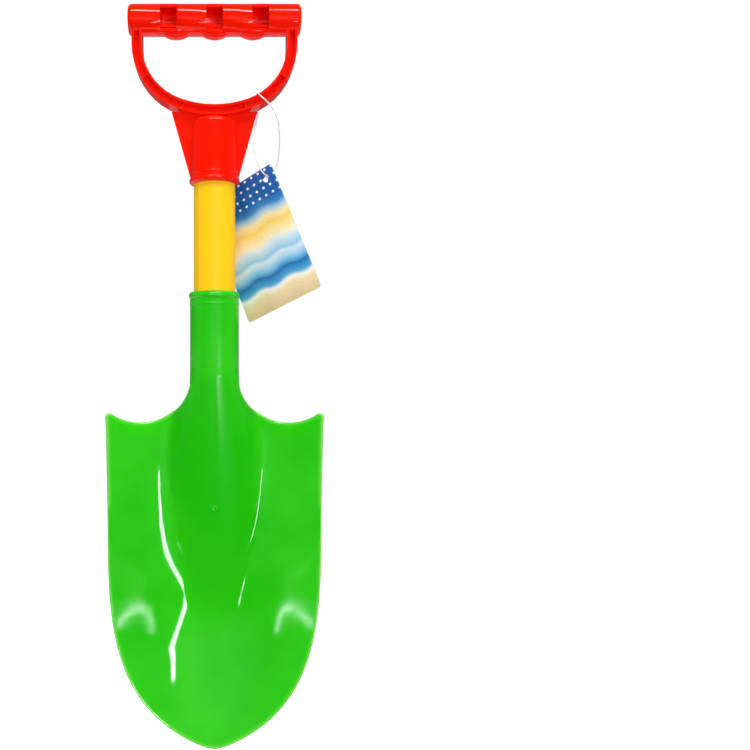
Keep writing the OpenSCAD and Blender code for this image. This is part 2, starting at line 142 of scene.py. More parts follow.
@dataclass(frozen=True)
class MouldedPolypropylene:
    """Polypropylene shot into a polished mould.

    The eye sees a saturated colour right through the wall, soft-edged gloss and faint clouds where the melt
    flowed.
    A paler line is painted along the free edges as their highlight, and a deeper colour on the spine as its
    shade.
    """

    name: str
    colour: str
    deep: str
    # Painted highlight: the paler colour laid along the free edges
    edge_highlight: str
    # Painted shade: the deeper colour laid on the hollow spine, which stands darker in the light from above
    spine_shade: str
    roughness: tuple[float, float] = (0.035, 0.065)
    # What the mould's grained zones add to the roughness
    satin: float = 0.16
    # Polypropylene's index is 1.49; the level is set low because the pigment skin is waxy
    ior: float = 1.49
    specular: float = 0.36
    # Clouds of the melt are about a hand's breadth, patches of mould polish a few millimetres
    flow_mm: float = 38.0
    polish_mm: float = 7.0
    # Real grain is near 0.1 mm; drawn coarser so that it shows as a slight waviness of the gloss
    grain_mm: float = 1.6
    grain_depth_mm: float = 0.004
    grain_bump: float = 0.35
    # Light that soaks a little way into the wall
    glow: float = 0.06
    glow_mm: float = 2.0

    def material(self) -> bpy.types.Material:
        """Builds the material.

        Returns:
            The moulded plastic.
        """
        material, tree = new_material(self.name)
        place = add_node(tree, "TexCoord").outputs["Object"]
        flow = add_node(tree, "TexNoise", {"Vector": place, "Scale": 1 / (self.flow_mm * MM), "Detail": 3.0})
        cloud = add_node(tree, "MapRange", {"Value": flow.outputs["Fac"], **NOISE_SPAN})
        skin = add_node(
            tree,
            "Mix",
            {0: cloud.outputs["Result"], 6: linear(self.deep), 7: linear(self.colour)},
            data_type="RGBA",
        )
        # Painted light: the spine's zone takes the painted shade colour, the free edge's zone the painted
        # highlight colour
        for zone, colour in (("spine_shade_share", self.spine_shade), ("rim", self.edge_highlight)):
            share = add_node(tree, "Attribute", attribute_name=zone).outputs["Fac"]
            skin = add_node(
                tree, "Mix", {0: share, 6: skin.outputs[2], 7: linear(colour)}, data_type="RGBA"
            )
        polish = add_node(
            tree, "TexNoise", {"Vector": place, "Scale": 1 / (self.polish_mm * MM), "Detail": 4.0}
        )
        gloss = add_node(
            tree,
            "MapRange",
            {
                "Value": polish.outputs["Fac"],
                **NOISE_SPAN,
                "To Min": self.roughness[0],
                "To Max": self.roughness[1],
            },
        )
        dull = add_node(tree, "Attribute", attribute_name="satin")
        rough = add_node(
            tree,
            "Math",
            {0: dull.outputs["Fac"], 1: self.satin, 2: gloss.outputs["Result"]},
            operation="MULTIPLY_ADD",
        )
        grain = add_node(
            tree, "TexNoise", {"Vector": place, "Scale": 1 / (self.grain_mm * MM), "Detail": 2.0}
        )
        bump = add_node(
            tree,
            "Bump",
            {
                "Height": grain.outputs["Fac"],
                "Strength": self.grain_bump,
                "Distance": self.grain_depth_mm * MM,
            },
        )
        shader = add_node(
            tree,
            "BsdfPrincipled",
            {
                "Base Color": skin.outputs[2],
                "Roughness": rough.outputs[0],
                "Normal": bump.outputs["Normal"],
                "IOR": self.ior,
                "Specular IOR Level": self.specular,
                "Subsurface Weight": self.glow,
                "Subsurface Radius": (1.0, 1.0, 1.0),
                "Subsurface Scale": self.glow_mm * MM,
            },
        )
        add_node(tree, "OutputMaterial", {"Surface": shader.outputs["BSDF"]})
        return material


@dataclass(frozen=True)
class ExtrudedTubePlastic:
    """Polyethylene drawn through a ring die.

    The eye sees a satin tube with hair-fine lines along its length and a slightly deeper colour in bands.
    """

    name: str
    colour: str
    deep: str
    roughness: tuple[float, float] = (0.38, 0.5)
    ior: float = 1.51
    specular: float = 0.3
    # Die lines are about a tenth of a millimetre; drawn at 0.8 mm across and 80 mm along so that they show
    line_mm: float = 0.8
    line_length_mm: float = 80.0
    line_depth_mm: float = 0.01
    line_bump: float = 0.3
    # Bands of deeper colour are about as wide as the tube
    band_mm: float = 26.0

    def material(self) -> bpy.types.Material:
        """Builds the material.

        Returns:
            The drawn plastic.
        """
        material, tree = new_material(self.name)
        place = add_node(tree, "TexCoord").outputs["Object"]
        drawn = add_node(
            tree, "Mapping", {"Vector": place, "Scale": (1.0, 1.0, self.line_mm / self.line_length_mm)}
        )
        lines = add_node(
            tree,
            "TexNoise",
            {"Vector": drawn.outputs["Vector"], "Scale": 1 / (self.line_mm * MM), "Detail": 2.0},
        )
        bands = add_node(tree, "TexNoise", {"Vector": place, "Scale": 1 / (self.band_mm * MM), "Detail": 2.0})
        body = add_node(
            tree,
            "Mix",
            {0: bands.outputs["Fac"], 6: linear(self.deep), 7: linear(self.colour)},
            data_type="RGBA",
        )
        gloss = add_node(
            tree,
            "MapRange",
            {
                "Value": lines.outputs["Fac"],
                **NOISE_SPAN,
                "To Min": self.roughness[0],
                "To Max": self.roughness[1],
            },
        )
        bump = add_node(
            tree,
            "Bump",
            {"Height": lines.outputs["Fac"], "Strength": self.line_bump, "Distance": self.line_depth_mm * MM},
        )
        shader = add_node(
            tree,
            "BsdfPrincipled",
            {
                "Base Color": body.outputs[2],
                "Roughness": gloss.outputs["Result"],
                "Normal": bump.outputs["Normal"],
                "IOR": self.ior,
                "Specular IOR Level": self.specular,
            },
        )
        add_node(tree, "OutputMaterial", {"Surface": shader.outputs["BSDF"]})
        return material


@dataclass(frozen=True)
class DrawnNylon:
    """Nylon drawn to a filament.

    The eye sees a milky, half clear strand whose middle is whiter than its sides.
    """

    name: str
    colour: str
    deep: str
    roughness: float = 0.3
    ior: float = 1.53
    clear: float = 0.2
    # Draw marks run along the strand, a few millimetres apart
    mark_mm: float = 3.0

    def material(self) -> bpy.types.Material:
        """Builds the material.

        Returns:
            The nylon.
        """
        material, tree = new_material(self.name)
        place = add_node(tree, "TexCoord").outputs["Object"]
        marks = add_node(tree, "TexNoise", {"Vector": place, "Scale": 1 / (self.mark_mm * MM), "Detail": 3.0})
        body = add_node(
            tree,
            "Mix",
            {0: marks.outputs["Fac"], 6: linear(self.deep), 7: linear(self.colour)},
            data_type="RGBA",
        )
        shader = add_node(
            tree,
            "BsdfPrincipled",
            {
                "Base Color": body.outputs[2],
                "Roughness": self.roughness,
                "IOR": self.ior,
                "Transmission Weight": self.clear,
            },
        )
        add_node(tree, "OutputMaterial", {"Surface": shader.outputs["BSDF"]})
        return material


@dataclass(frozen=True)
class PrintedCard:
    """Coated card with an offset print: a dotted band over wave stripes and sand.

    The eye sees flat inks with a fine dot grain under a thin glossy varnish.
    """

    name: str
    # Heights are shares of the card's height, from its bottom, each with the ink that starts there
    inks: tuple[tuple[float, str], ...] = (
        (0.0, "#d9bd8c"),
        (0.12, "#ecd9ae"),
        (0.155, "#f4f3ea"),
        (0.185, "#4fa6d8"),
        (0.25, "#1f6fb4"),
        (0.29, "#6fb9e3"),
        (0.36, "#cfe6f3"),
        (0.39, "#8cc6e8"),
        (0.47, "#dcebf2"),
        (0.50, "#f6ecc4"),
        (0.60, "#f5d36a"),
        (0.66, "#f3e4b4"),
        (0.70, "#9ecbe9"),
        (0.74, "#3d86c8"),
        (0.80, "#1c62b0"),
    )
    dot_colour: str = "#eef6fb"
    card_mm: tuple[float, float] = CARD_MM
    dot_pitch_mm: float = 5.0
    dot_share: float = 0.17
    dots_from: float = 0.755
    waves: float = 2.5
    wave_share: float = 0.011
    # The print screen is 0.15 mm; drawn at 0.9 mm so that it shows
    screen_mm: float = 0.9
    # How far the screen shades the inks and breaks the varnish
    shade: tuple[float, float] = (0.9, 1.04)
    roughness: tuple[float, float] = (0.3, 0.42)
    specular: float = 0.3

    def material(self) -> bpy.types.Material:
        """Builds the material.

        Returns:
            The printed face.
        """
        material, tree = new_material(self.name)
        sheet = add_node(tree, "UVMap", uv_map="print").outputs["UV"]
        across = add_node(tree, "SeparateXYZ", {0: sheet})
        turn = add_node(
            tree, "Math", {0: across.outputs["X"], 1: self.waves * math.tau}, operation="MULTIPLY"
        )
        swell = add_node(tree, "Math", {0: turn.outputs[0]}, operation="SINE")
        height = add_node(
            tree,
            "Math",
            {0: swell.outputs[0], 1: self.wave_share, 2: across.outputs["Y"]},
            operation="MULTIPLY_ADD",
        )
        inks = add_node(tree, "ValToRGB", {"Fac": height.outputs[0]})
        stops = inks.color_ramp.elements
        while len(stops) < len(self.inks):
            stops.new(1.0)
        for stop, (share, ink) in zip(stops, self.inks):
            stop.position = share
            stop.color = linear(ink)
        cells = tuple(side / self.dot_pitch_mm for side in self.card_mm)
        spread = add_node(
            tree, "VectorMath", {0: sheet, 1: (cells[0], cells[1], 0.0)}, operation="MULTIPLY"
        )
        cell = add_node(tree, "VectorMath", {0: spread.outputs["Vector"]}, operation="FRACTION")
        away = add_node(
            tree, "VectorMath", {0: cell.outputs["Vector"], 1: (0.5, 0.5, 0.0)}, operation="DISTANCE"
        )
        dot = add_node(tree, "Math", {0: away.outputs["Value"], 1: self.dot_share}, operation="LESS_THAN")
        band = add_node(tree, "Math", {0: across.outputs["Y"], 1: self.dots_from}, operation="GREATER_THAN")
        dotted = add_node(tree, "Math", {0: dot.outputs[0], 1: band.outputs[0]}, operation="MULTIPLY")
        printed = add_node(
            tree,
            "Mix",
            {0: dotted.outputs[0], 6: inks.outputs["Color"], 7: linear(self.dot_colour)},
            data_type="RGBA",
        )
        screen = add_node(
            tree,
            "TexNoise",
            {"Vector": spread.outputs["Vector"], "Scale": self.dot_pitch_mm / self.screen_mm, "Detail": 2.0},
        )
        grain = add_node(
            tree,
            "MapRange",
            {
                "Value": screen.outputs["Fac"],
                **NOISE_SPAN,
                "To Min": self.shade[0],
                "To Max": self.shade[1],
            },
        )
        inked = add_node(
            tree,
            "VectorMath",
            {0: printed.outputs[2], "Scale": grain.outputs["Result"]},
            operation="SCALE",
        )
        sheen = add_node(
            tree,
            "MapRange",
            {
                "Value": screen.outputs["Fac"],
                **NOISE_SPAN,
                "To Min": self.roughness[0],
                "To Max": self.roughness[1],
            },
        )
        shader = add_node(
            tree,
            "BsdfPrincipled",
            {
                "Base Color": inked.outputs["Vector"],
                "Roughness": sheen.outputs["Result"],
                "Specular IOR Level": self.specular,
            },
        )
        add_node(tree, "OutputMaterial", {"Surface": shader.outputs["BSDF"]})
        return material


@dataclass(frozen=True)
class BareCard:
    """Uncoated card, as it shows at the cut edges and on the unprinted back: off-white, with faint fibres."""

    name: str
    colour: str = "#efece4"
    fibre: str = "#dcd6c9"
    # Fibres are about 0.05 by 2 mm; drawn at 0.7 mm so that they show
    fibre_mm: float = 0.7
    fibre_depth_mm: float = 0.02
    fibre_bump: float = 0.3
    roughness: float = 0.75

    def material(self) -> bpy.types.Material:
        """Builds the material.

        Returns:
            The bare card.
        """
        material, tree = new_material(self.name)
        place = add_node(tree, "TexCoord").outputs["Object"]
        felt = add_node(tree, "TexNoise", {"Vector": place, "Scale": 1 / (self.fibre_mm * MM), "Detail": 5.0})
        body = add_node(
            tree,
            "Mix",
            {0: felt.outputs["Fac"], 6: linear(self.fibre), 7: linear(self.colour)},
            data_type="RGBA",
        )
        bump = add_node(
            tree,
            "Bump",
            {
                "Height": felt.outputs["Fac"],
                "Strength": self.fibre_bump,
                "Distance": self.fibre_depth_mm * MM,
            },
        )
        shader = add_node(
            tree,
            "BsdfPrincipled",
            {"Base Color": body.outputs[2], "Roughness": self.roughness, "Normal": bump.outputs["Normal"]},
        )
        add_node(tree, "OutputMaterial", {"Surface": shader.outputs["BSDF"]})
        return material


# ---------------------------------------------------------------- mesh making


@dataclass
class Shell:
    """Points and faces of one piece, gathered in millimetres until they become a mesh."""

    points: list[np.ndarray] = field(default_factory=list)
    faces: list[list[int]] = field(default_factory=list)
    count: int = 0

    def add(self, points: np.ndarray) -> np.ndarray:
        """Adds points.

        Args:
            points: Any array of points, with x, y and z last.

        Returns:
            Their numbers, in the same arrangement.
        """
        flat = np.asarray(points, float).reshape(-1, 3)
        numbers = np.arange(len(flat)) + self.count
        self.points.append(flat)
        self.count += len(flat)
        return numbers.reshape(np.shape(points)[:-1])

    def net(self, numbers: np.ndarray, closed: bool = False) -> None:
        """Adds the quads of a net of points.

        Args:
            numbers: The points' numbers, rows by columns.
            closed: True where the last column meets the first.
        """
        full = np.hstack([numbers, numbers[:, :1]]) if closed else numbers
        quads = np.stack([full[:-1, :-1], full[:-1, 1:], full[1:, 1:], full[1:, :-1]], axis=-1)
        self.faces.extend(quads.reshape(-1, 4).tolist())

    def turned(self, profile: np.ndarray, steps: int, place: Matrix | None = None) -> np.ndarray:
        """Adds a solid of revolution about Z, capped at both ends of its profile.

        Args:
            profile: Radius and height of each ring.
            steps: How many points make up a ring.
            place: Where the solid goes, in millimetres.

        Returns:
            The points' numbers, rings by steps.
        """
        angles = np.linspace(0, math.tau, steps, endpoint=False)
        radius, height = profile[:, :1], profile[:, 1:]
        points = np.stack(
            [radius * np.cos(angles), radius * np.sin(angles), np.repeat(height, steps, axis=1)], axis=-1
        )
        if place is not None:
            matrix = np.array(place)
            points = points @ matrix[:3, :3].T + matrix[:3, 3]
        numbers = self.add(points)
        self.net(numbers, closed=True)
        self.faces.append(numbers[0].tolist())
        self.faces.append(numbers[-1].tolist())
        return numbers

    def to_object(self, name: str, crease_deg: float = 35.0) -> bpy.types.Object:
        """Makes the mesh object, with its faces turned outwards and smooth up to the crease angle.

        Args:
            name: The piece's name.
            crease_deg: The angle above which an edge stays sharp.

        Returns:
            The new object, linked to the scene.
        """
        mesh = bpy.data.meshes.new(name)
        mesh.from_pydata((np.concatenate(self.points) * MM).tolist(), [], self.faces)
        work = bmesh.new()
        work.from_mesh(mesh)
        bmesh.ops.recalc_face_normals(work, faces=work.faces)
        work.to_mesh(mesh)
        work.free()
        mesh.shade_smooth()
        mesh.set_sharp_from_angle(angle=math.radians(crease_deg))
        piece = bpy.data.objects.new(name, mesh)
        bpy.context.scene.collection.objects.link(piece)
        return piece


def arc(
    middle: tuple[float, float], r: float, start_deg: float, end_deg: float, steps: int
) -> list[tuple[float, float]]:
    """Points along an arc.

    Args:
        middle: The arc's middle.
        r: Its radius.
        start_deg: Angle of the first point.
        end_deg: Angle of the last point.
        steps: Number of steps between them.

    Returns:
        The points, as pairs.
    """
    angles = np.radians(np.linspace(start_deg, end_deg, steps + 1))
    return [(middle[0] + r * math.cos(a), middle[1] + r * math.sin(a)) for a in angles]


def through(route: Sequence[Sequence[float]], steps: int) -> np.ndarray:
    """Smooth line through the points of a route.

    Args:
        route: The points.
        steps: Number of steps from each point to the next.

    Returns:
        The line's points.
    """
    knots = np.array(route, float)
    knots = np.vstack([2 * knots[0] - knots[1], knots, 2 * knots[-1] - knots[-2]])
    line = []
    for a, b, c, d in zip(knots, knots[1:], knots[2:], knots[3:]):
        for s in np.arange(steps) / steps:
            line.append(
                0.5
                * (2 * b + (c - a) * s + (2 * a - 5 * b + 4 * c - d) * s**2 + (3 * b - a - 3 * c + d) * s**3)
            )
    line.append(knots[-2])
    return np.array(line)


def dress(piece: bpy.types.Object, *materials: bpy.types.Material) -> None:
    """Puts materials on a piece, in the order of its slots.

    Args:
        piece: The piece.
        materials: Its materials.
    """
    if piece.data.materials:
        for index, slot in enumerate(piece.material_slots):
            slot.material = materials[min(index, len(materials) - 1)]
    else:
        for material in materials:
            piece.data.materials.append(material)


# ---------------------------------------------------------------- sub-assemblies


@dataclass
class Blade:
    """Dished blade whose hollow spine ramps up out of it into the socket for the shaft."""

    finish: MouldedPolypropylene
    # Socket for the shaft, with a bead at its rim and a thin ring under that
    bore_r: float = 12.9
    socket_r: float = 15.0
    mouth_z: float = -167.6
    end_z: float = -218.4
    floor_z: float = -213.4
    bead_proud: float = 0.8
    bead_h: float = 5.0
    ring_proud: float = 0.3
    # Outline: where the nose starts and ends, and the powers that make it full and blunt
    tip_z: float = -449.4
    nose_z: float = -297.4
    nose_l: float = 152.0
    nose_full: float = 3.75
    nose_blunt: float = 0.67
    half_w: float = 66.2
    taper: float = 1.0
    wall: float = 2.2
    # Arcs from the socket out to the shoulders, which end in rounded horns
    shoulder_r: float = 30.0
    horn_round: float = 2.8
    # Wings: they slope up from a soft knee, which is pinched in about the spine's foot
    wing_slope: float = 0.42
    wing_knee: float = 22.0
    wing_pinch: float = 4.0
    pinch_l: float = 24.0
    foot_share: float = 0.94
    wing_soft: float = 14.0
    # Lift of the nose, and how far and over what width the margin turns back along the shoulders
    tip_lift: float = 14.0
    margin_turn: float = 2.4
    margin_h: float = 9.0
    # Spine: its length, how it widens, the slope of its flanks and the softness of the valley beside it
    ramp_l: float = 139.5
    ramp_flare: float = 60.0
    flank_slope: float = 3.5
    valley_soft: float = 4.0
    # Ring left by the moulding gate, and how far below the socket it is
    gate_d: float = 4.0
    gate_h: float = 0.6
    gate_drop: float = 83.0
    # Rounding of the free edges
    edge_r: float = 0.7
    # The spine wraps the socket's front by a hair at its end and sinks into it above
    wrap: float = 0.03
    sink: float = 0.1
    plug: float = 4.0
    spine_cols: int = 20
    wing_cols: int = 44
    rows: int = 150
    socket_steps: int = 144
    gate_steps: int = 48
    # What is turned starts and ends this far from its axis
    pin_r: float = 0.05
    # Width of the painted highlight, a paler line along the free edge
    edge_highlight_mm: float = 3.2
    # The spine is grained, and takes its painted shade, where it stands this far above the dish
    satin_rise: float = 12.0
    # Length over which the spine's painted shade, a deeper colour, comes in below the socket
    spine_shade_fade: float = 40.0

    def wing_rise(self, x: np.ndarray, z: np.ndarray) -> np.ndarray:
        """Rise of the wings, whose bends come nearer to the middle at the spine's foot.

        Args:
            x: Distances from the middle.
            z: Heights in the frame.

        Returns:
            The rise at each point.
        """
        foot_z = self.end_z - self.foot_share * self.ramp_l
        bend = self.wing_knee - self.wing_pinch * np.exp(-(((z - foot_z) / self.pinch_l) ** 2))
        slope = self.wing_slope * (self.half_w - self.wing_knee) / (self.half_w - bend)
        knee = np.abs(x) - bend
        soft = self.wing_soft**2
        flat = (np.sqrt(bend**2 + soft) - bend) / 2
        return slope * ((knee + np.sqrt(knee**2 + soft)) / 2 - flat)

    def shoulder_z(self, x: np.ndarray, inset: float = 0.0) -> np.ndarray:
        """Height of the shoulder arc at x, set in by a margin."""
        out = np.abs(x) - self.socket_r - self.shoulder_r
        return self.end_z - np.sqrt(np.maximum(0, (self.shoulder_r + inset) ** 2 - out**2))

    def dish(self, x: np.ndarray, z: np.ndarray) -> np.ndarray:
        """Height of the dished face above the plane of the socket's back.

        Args:
            x: Distances from the middle.
            z: Heights in the frame.

        Returns:
            The face's height at each point.
        """
        belly_z = self.end_z - self.ramp_l
        lift = self.tip_lift * (np.maximum(0, belly_z - z) / (belly_z - self.tip_z)) ** 2
        near = np.maximum(0, 1 - (self.shoulder_z(x) - z) / self.margin_h) ** 2
        beside = np.clip(2 * (np.abs(x) - self.socket_r) / self.shoulder_r - 0.5, 0, 1)
        return self.wall + self.wing_rise(x, z) + lift - self.margin_turn * near * beside

    def spine(self, x: np.ndarray, z: np.ndarray) -> np.ndarray:
        """Height of the hollow spine, a cone that starts as the socket's front and sinks below the face.

        Args:
            x: Distances from the middle.
            z: Heights in the frame.

        Returns:
            The spine's height at each point.
        """
        ramp = np.maximum(0, self.end_z - z) / self.ramp_l
        r_top = self.socket_r + self.wrap - self.sink * np.clip((z - self.end_z) / self.plug, 0, 1)
        crest = self.socket_r + r_top - (self.socket_r + r_top - self.wall) * ramp
        r = r_top + self.ramp_flare * ramp
        out = np.abs(x) - r
        bow = np.sqrt(np.maximum(0, r**2 - x**2))
        return crest - r + np.where(out < 0, bow, -self.flank_slope * out)

    def face(self, x: np.ndarray, z: np.ndarray) -> np.ndarray:
        """Height of the front face: the higher of dish and spine, with a soft valley between them.

        Args:
            x: Distances from the middle.
            z: Heights in the frame.

        Returns:
            The face's height at each point.
        """
        low, high = self.dish(x, z), self.spine(x, z)
        return (low + high + np.sqrt((low - high) ** 2 + self.valley_soft**2)) / 2

    def skins(self, x: np.ndarray, z: np.ndarray) -> tuple[np.ndarray, np.ndarray]:
        """Front points of the sheet, and those behind them by one wall along the face's normal.

        Args:
            x: Distances from the middle.
            z: Heights in the frame.

        Returns:
            Front and back points.
        """
        step = 0.1
        slope_x = (self.face(x + step, z) - self.face(x - step, z)) / (2 * step)
        slope_z = (self.face(x, z + step) - self.face(x, z - step)) / (2 * step)
        front = np.stack([x, self.socket_r - self.face(x, z), z], axis=-1)
        normal = np.stack([slope_x, np.ones_like(x), slope_z], axis=-1)
        return front, front + self.wall * normal / np.linalg.norm(normal, axis=-1, keepdims=True)

    def net_places(self) -> tuple[np.ndarray, np.ndarray]:
        """Places of the sheet's net, rows from nose to shoulders, set in by the edge's rounding.

        Returns:
            x and z of each point.
        """
        e = self.edge_r
        half_w = self.half_w - e
        nose_w = self.half_w - self.taper - e
        r_top = self.socket_r + self.wrap
        inner = r_top * np.sin(np.radians(np.linspace(0, 90, self.spine_cols + 1)))
        q = np.arange(1, self.wing_cols + 1) / self.wing_cols
        outer = r_top + (half_w - r_top) * (1 - np.cos(np.pi * q)) / 2
        right = np.concatenate([inner, outer])
        x_top = np.concatenate([-right[:0:-1], right])
        drop = np.maximum(0, np.abs(x_top) - half_w + self.horn_round)
        horn = self.horn_round - np.sqrt(np.maximum(0, self.horn_round**2 - drop**2))
        on_spine = np.abs(x_top) < inner[-2] + 1e-6
        z_top = np.where(on_spine, self.end_z + self.plug, self.shoulder_z(x_top, e) - horn)
        share = x_top / half_w
        full = (1 - np.abs(share) ** (1 / self.nose_blunt)) ** (1 / self.nose_full)
        z_low = self.nose_z - (self.nose_l - e) * full
        rise = np.linspace(0, 1, self.rows + 1)[:, None]
        x = nose_w * share + (x_top - nose_w * share) * rise
        return x, z_low + (z_top - z_low) * rise

    def add_sheet(self, shell: Shell) -> np.ndarray:
        """Adds the sheet with its rounded edge.

        Args:
            shell: The shell that takes it.

        Returns:
            The points of the sheet's edge.
        """
        x, z = self.net_places()
        front, back = self.skins(x, z)
        front_at, back_at = shell.add(front), shell.add(back)
        shell.net(front_at)
        shell.net(back_at)

        def edge_of(net: np.ndarray) -> np.ndarray:
            """The net's outline, once round."""
            return np.concatenate([net[0], net[1:, -1], net[-1, -2::-1], net[-2:0:-1, 0]])

        rim_front, rim_back = edge_of(front), edge_of(back)
        normal = rim_front - rim_back
        normal /= np.linalg.norm(normal, axis=1, keepdims=True)
        along = np.roll(rim_front, -1, axis=0) - np.roll(rim_front, 1, axis=0)
        out = np.cross(along, normal)
        out /= np.linalg.norm(out, axis=1, keepdims=True)
        tip = self.spine_cols + self.wing_cols
        if out[tip, 2] > 0:
            out = -out
        loops = [edge_of(front_at)]
        for rim, side, angles in ((rim_front, -1, (30, 60, 90)), (rim_back, 1, (90, 60, 30))):
            for angle in np.radians(angles):
                turn = math.sin(angle) * out + side * (1 - math.cos(angle)) * normal
                loops.append(shell.add(rim + self.edge_r * turn))
        loops.append(edge_of(back_at))
        shell.net(np.array(loops), closed=True)
        return rim_front + self.edge_r * out

    def add_socket(self, shell: Shell) -> None:
        """Adds the socket, with its rim bead, thin ring, bore and floor.

        Args:
            shell: The shell that takes it.
        """
        bead_r, ring_r = self.bead_h / 2, self.bead_h / 4
        bead_a = math.degrees(math.acos(1 - self.bead_proud / bead_r))
        ring_a = math.degrees(math.acos(1 - self.ring_proud / ring_r))
        bead = arc((self.socket_r + self.bead_proud - bead_r, bead_r), bead_r, -90, bead_a, 18)
        ring_middle = (self.socket_r + self.ring_proud - ring_r, self.bead_h + 2 * ring_r)
        ring = arc(ring_middle, ring_r, -ring_a, ring_a, 8)
        # Rounded lead-in of the bore, as radius and depth
        mouth = [(self.bore_r, 0.6), (self.bore_r + 0.15, 0.18), (self.bore_r + 0.5, 0.0)]
        end_r = 0.5
        profile = [(self.pin_r, self.floor_z), (self.bore_r, self.floor_z)]
        profile += [(r, self.mouth_z - h) for r, h in mouth + bead + ring]
        profile += arc((self.socket_r - end_r, self.end_z + end_r), end_r, 0, -90, 5)
        profile.append((self.pin_r, self.end_z))
        shell.turned(np.array(profile), self.socket_steps)

    def add_gate(self, shell: Shell) -> None:
        """Adds the small ring left by the moulding gate, square to the spine's crest.

        Args:
            shell: The shell that takes it.
        """
        gate_z = self.end_z - self.gate_drop
        front, back = self.skins(np.array([0.0]), np.array([gate_z]))
        out = Vector(front[0] - back[0]).normalized()
        place = Matrix.Translation(front[0]) @ out.to_track_quat("Z", "Y").to_matrix().to_4x4()
        # Foot, outer and inner rounding of the lip, and the sunk middle, as radius and height
        r, h, lip_r = self.gate_d / 2, self.gate_h, 0.2
        profile = [(r + 0.35, -0.3), (r + 0.1, 0.02)]
        profile += arc((r - lip_r, h - lip_r), lip_r, 0, 90, 4)
        profile += arc((r - 0.8, h - lip_r), lip_r, 90, 180, 4)
        profile += [(0.5, h - 0.45), (0.02, h - 0.5)]
        shell.turned(np.array(profile), self.gate_steps, place)

    def build(self) -> bpy.types.Object:
        """Builds the blade and dresses it.

        Returns:
            The blade.
        """
        shell = Shell()
        edge = self.add_sheet(shell)
        sheet_count = shell.count
        self.add_socket(shell)
        self.add_gate(shell)
        piece = shell.to_object("blade_moulding")
        # Free edge of the sheet, without the part that runs up into the socket
        rim = KDTree(len(edge))
        for number, point in enumerate(edge):
            if point[2] < self.end_z - 1:
                rim.insert(Vector(point), number)
        rim.balance()
        points = np.concatenate(shell.points)[:sheet_count]
        x, z = points[:, 0], points[:, 2]
        # Painted highlight: share of the paler edge colour, fading over that width from the free edge
        edge_highlight_share = np.array([max(0.0, 1 - rim.find(Vector(p))[2] / self.edge_highlight_mm) ** 2 for p in points])
        spine_grain_and_shade = np.clip((self.spine(x, z) - self.dish(x, z)) / self.satin_rise, 0, 1)
        spine_grain_and_shade = spine_grain_and_shade**2 * (3 - 2 * spine_grain_and_shade)
        below_neck = np.clip((self.end_z - z) / self.spine_shade_fade, 0, 1)
        # The rim is as dull as the grained spine, so that it carries no hard line of light
        dull = np.maximum(spine_grain_and_shade, np.sqrt(edge_highlight_share))
        # The paler colour along the free edge is a painted highlight, the deeper colour on the spine below
        # its neck a painted shade; satin sets the grain's roughness
        zones = (("rim", edge_highlight_share, 0.0), ("spine_shade_share", spine_grain_and_shade * below_neck, 0.0), ("satin", dull, 1.0))
        for zone, on_sheet, on_socket in zones:
            shares = on_sheet.tolist() + [on_socket] * (shell.count - sheet_count)
            piece.data.attributes.new(zone, "FLOAT", "POINT").data.foreach_set("value", shares)
        dress(piece, self.finish.material())
        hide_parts("blade")
        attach(piece, Body.SHOVEL.value)
        return piece


@dataclass
class Handle:
    """D-handle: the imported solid, with its edges rounded as a mould leaves them."""

    finish: MouldedPolypropylene
    weld_mm: float = 0.002
    # Faces that turn by less than flat_deg become one, edges that turn by more than edge_deg are rounded
    flat_deg: float = 0.6
    edge_deg: float = 32.0
    edge_mm: float = 0.35
    edge_steps: int = 2

    def build(self) -> bpy.types.Object:
        """Rounds the handle's edges and dresses it.

        Returns:
            The handle.
        """
        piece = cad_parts["handle"]
        weld = piece.modifiers.new("weld", "WELD")
        weld.merge_threshold = self.weld_mm * MM
        flat = piece.modifiers.new("flat", "DECIMATE")
        flat.decimate_type = "DISSOLVE"
        flat.angle_limit = math.radians(self.flat_deg)
        edge = piece.modifiers.new("edge", "BEVEL")
        edge.width = self.edge_mm * MM
        edge.segments = self.edge_steps
        edge.limit_method = "ANGLE"
        edge.angle_limit = math.radians(self.edge_deg)
        edge.harden_normals = True
        dress(piece, self.finish.material())
        return piece


@dataclass
class Shaft:
    """Tube shaft between the two sockets."""

    finish: ExtrudedTubePlastic

    def build(self) -> bpy.types.Object:
        """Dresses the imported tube.

        Returns:
            The shaft.
        """
        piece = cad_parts["shaft"]
        dress(piece, self.finish.material())
        return piece


